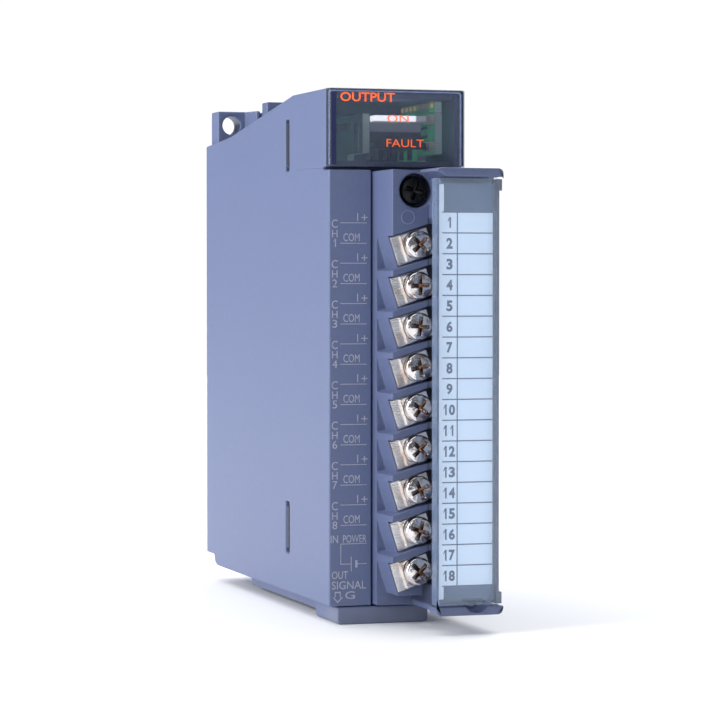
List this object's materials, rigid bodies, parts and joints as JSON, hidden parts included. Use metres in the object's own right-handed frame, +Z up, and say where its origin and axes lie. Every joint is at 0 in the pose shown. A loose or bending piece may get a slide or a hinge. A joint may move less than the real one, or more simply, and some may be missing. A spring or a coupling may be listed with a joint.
{
  "type": "plc module",
  "caption": "Narrow rack module with a sloped case, smoky indicator window, legend strip and a plug-in screw terminal block under a clear hinged cover.",
  "frame": {"origin": "centre of the rear seating face, which bears on the base unit", "axes": "+X to the right as seen from the front, +Y towards the rear, +Z up"},
  "size_m": [0.0274, 0.1148, 0.1035],
  "materials": {
    "case_plastic": "fine matt moulded texture",
    "block_plastic": "satin moulded",
    "smoky_clear": "polished smoky clear",
    "clear_cover": "polished clear",
    "light_guide": "milky",
    "led_body": "epoxy",
    "circuit_board": "solder resist",
    "black_moulding": "satin moulded",
    "chip_resin": "fine matt resin",
    "capacitor_sleeve": "shrink sleeve",
    "nickel": "bright nickel plate",
    "black_steel": "black oxide",
    "steel_pin": "ground",
    "brass": "turned",
    "card": "printed card"
  },
  "bodies": {
    "module": {"housing": "case_plastic", "right_cover": "case_plastic", "led_window": "smoky_clear", "light_guide": "light_guide", "led_run": "led_body", "led_error": "led_body", "main_board": "circuit_board", "output_board": "circuit_board", "board_link": "black_moulding", "backplane_connector": "black_moulding", "dc_converter": "chip_resin", "control_chip": "chip_resin", "output_chip": "chip_resin", "capacitor": "capacitor_sleeve", "terminal_header": "black_moulding", "fixing_nut_top": "brass", "fixing_nut_bottom": "brass", "hook_pin": "steel_pin"},
    "terminal_block": {"terminal_block_body": "block_plastic", "terminal_plate_01": "nickel", "terminal_plate_02": "nickel", "terminal_plate_03": "nickel", "terminal_plate_04": "nickel", "terminal_plate_05": "nickel", "terminal_plate_06": "nickel", "terminal_plate_07": "nickel", "terminal_plate_08": "nickel", "terminal_plate_09": "nickel", "terminal_plate_10": "nickel", "terminal_plate_11": "nickel", "terminal_plate_12": "nickel", "terminal_plate_13": "nickel", "terminal_plate_14": "nickel", "terminal_plate_15": "nickel", "terminal_plate_16": "nickel", "terminal_plate_17": "nickel", "terminal_plate_18": "nickel"},
    "cover": {"terminal_cover": "clear_cover", "label_card": "card"},
    "hook": {"fixing_hook": "case_plastic"},
    "top_fixing_screw": {"fixing_screw_top": "black_steel"},
    "bottom_fixing_screw": {"fixing_screw_bottom": "black_steel"},
    "screw_01": {"terminal_screw_01": "nickel"},
    "screw_02": {"terminal_screw_02": "nickel"},
    "screw_03": {"terminal_screw_03": "nickel"},
    "screw_04": {"terminal_screw_04": "nickel"},
    "screw_05": {"terminal_screw_05": "nickel"},
    "screw_06": {"terminal_screw_06": "nickel"},
    "screw_07": {"terminal_screw_07": "nickel"},
    "screw_08": {"terminal_screw_08": "nickel"},
    "screw_09": {"terminal_screw_09": "nickel"},
    "screw_10": {"terminal_screw_10": "nickel"},
    "screw_11": {"terminal_screw_11": "nickel"},
    "screw_12": {"terminal_screw_12": "nickel"},
    "screw_13": {"terminal_screw_13": "nickel"},
    "screw_14": {"terminal_screw_14": "nickel"},
    "screw_15": {"terminal_screw_15": "nickel"},
    "screw_16": {"terminal_screw_16": "nickel"},
    "screw_17": {"terminal_screw_17": "nickel"},
    "screw_18": {"terminal_screw_18": "nickel"}
  },
  "joints": [
    {"name": "block_unplug", "type": "slide", "parent": "module", "child": "terminal_block", "axis": [0, -1, 0], "range_m": [0, 0.02]},
    {"name": "cover_hinge", "type": "hinge", "parent": "terminal_block", "child": "cover", "pos_m": [0.0115, -0.1103, -0.008], "axis": [0, 0, 1], "range_deg": [0, 110]},
    {"name": "hook_press", "type": "hinge", "parent": "module", "child": "hook", "pos_m": [0.00015, -0.005, 0.0463], "axis": [1, 0, 0], "range_deg": [0, 8], "stiffness_Nm_per_rad": 0.25},
    {"name": "turn_fixing_screw_bottom", "type": "hinge", "parent": "terminal_block", "child": "bottom_fixing_screw", "pos_m": [0.0089, -0.099, -0.0449], "axis": [0, 1, 0], "continuous": true},
    {"name": "turn_fixing_screw_top", "type": "hinge", "parent": "terminal_block", "child": "top_fixing_screw", "pos_m": [-0.0003, -0.099, 0.0294], "axis": [0, 1, 0], "continuous": true},
    {"name": "turn_terminal_screw_01", "type": "hinge", "parent": "terminal_block", "child": "screw_01", "pos_m": [0.0078, -0.1062, 0.02173], "axis": [0, 1, 0], "continuous": true},
    {"name": "turn_terminal_screw_02", "type": "hinge", "parent": "terminal_block", "child": "screw_02", "pos_m": [0.0003, -0.1012, 0.01936], "axis": [0, 1, 0], "continuous": true},
    {"name": "turn_terminal_screw_03", "type": "hinge", "parent": "terminal_block", "child": "screw_03", "pos_m": [0.0078, -0.1062, 0.01411], "axis": [0, 1, 0], "continuous": true},
    {"name": "turn_terminal_screw_04", "type": "hinge", "parent": "terminal_block", "child": "screw_04", "pos_m": [0.0003, -0.1012, 0.01174], "axis": [0, 1, 0], "continuous": true},
    {"name": "turn_terminal_screw_05", "type": "hinge", "parent": "terminal_block", "child": "screw_05", "pos_m": [0.0078, -0.1062, 0.00649], "axis": [0, 1, 0], "continuous": true},
    {"name": "turn_terminal_screw_06", "type": "hinge", "parent": "terminal_block", "child": "screw_06", "pos_m": [0.0003, -0.1012, 0.00412], "axis": [0, 1, 0], "continuous": true},
    {"name": "turn_terminal_screw_07", "type": "hinge", "parent": "terminal_block", "child": "screw_07", "pos_m": [0.0078, -0.1062, -0.00113], "axis": [0, 1, 0], "continuous": true},
    {"name": "turn_terminal_screw_08", "type": "hinge", "parent": "terminal_block", "child": "screw_08", "pos_m": [0.0003, -0.1012, -0.0035], "axis": [0, 1, 0], "continuous": true},
    {"name": "turn_terminal_screw_09", "type": "hinge", "parent": "terminal_block", "child": "screw_09", "pos_m": [0.0078, -0.1062, -0.00875], "axis": [0, 1, 0], "continuous": true},
    {"name": "turn_terminal_screw_10", "type": "hinge", "parent": "terminal_block", "child": "screw_10", "pos_m": [0.0003, -0.1012, -0.01112], "axis": [0, 1, 0], "continuous": true},
    {"name": "turn_terminal_screw_11", "type": "hinge", "parent": "terminal_block", "child": "screw_11", "pos_m": [0.0078, -0.1062, -0.01637], "axis": [0, 1, 0], "continuous": true},
    {"name": "turn_terminal_screw_12", "type": "hinge", "parent": "terminal_block", "child": "screw_12", "pos_m": [0.0003, -0.1012, -0.01874], "axis": [0, 1, 0], "continuous": true},
    {"name": "turn_terminal_screw_13", "type": "hinge", "parent": "terminal_block", "child": "screw_13", "pos_m": [0.0078, -0.1062, -0.02399], "axis": [0, 1, 0], "continuous": true},
    {"name": "turn_terminal_screw_14", "type": "hinge", "parent": "terminal_block", "child": "screw_14", "pos_m": [0.0003, -0.1012, -0.02636], "axis": [0, 1, 0], "continuous": true},
    {"name": "turn_terminal_screw_15", "type": "hinge", "parent": "terminal_block", "child": "screw_15", "pos_m": [0.0078, -0.1062, -0.03161], "axis": [0, 1, 0], "continuous": true},
    {"name": "turn_terminal_screw_16", "type": "hinge", "parent": "terminal_block", "child": "screw_16", "pos_m": [0.0003, -0.1012, -0.03398], "axis": [0, 1, 0], "continuous": true},
    {"name": "turn_terminal_screw_17", "type": "hinge", "parent": "terminal_block", "child": "screw_17", "pos_m": [0.0078, -0.1062, -0.03923], "axis": [0, 1, 0], "continuous": true},
    {"name": "turn_terminal_screw_18", "type": "hinge", "parent": "terminal_block", "child": "screw_18", "pos_m": [0.0003, -0.1012, -0.0416], "axis": [0, 1, 0], "continuous": true}
  ]
}
